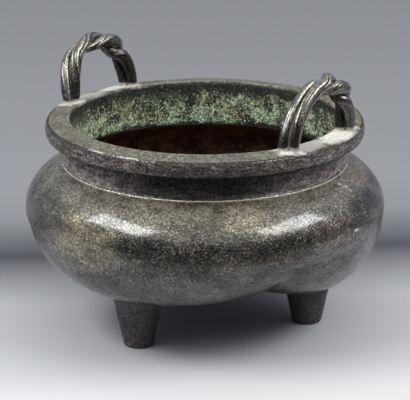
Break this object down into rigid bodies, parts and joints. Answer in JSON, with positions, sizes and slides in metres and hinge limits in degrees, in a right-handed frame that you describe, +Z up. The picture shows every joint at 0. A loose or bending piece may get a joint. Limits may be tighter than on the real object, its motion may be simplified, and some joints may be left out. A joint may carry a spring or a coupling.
{
  "type": "tripod incense burner",
  "caption": "Squat bronze censer with a pouched belly on tapering feet, a flat flanged rim and upright rope-twist loop handles.",
  "frame": {"origin": "on the ground under the pot's axis, in the plane of the three soles", "axes": "+Z up along the pot's axis; one foot points to -Y; the handles stand at +X and -X"},
  "size_m": [0.2378, 0.2378, 0.1811],
  "materials": {
    "bronze": "aged cast bronze with a dark olive-brown patina, rubbed bright on its edges, green corrosion inside the neck and pale dust on the rim"
  },
  "bodies": {
    "root": {"censer": "bronze"}
  },
  "joints": []
}
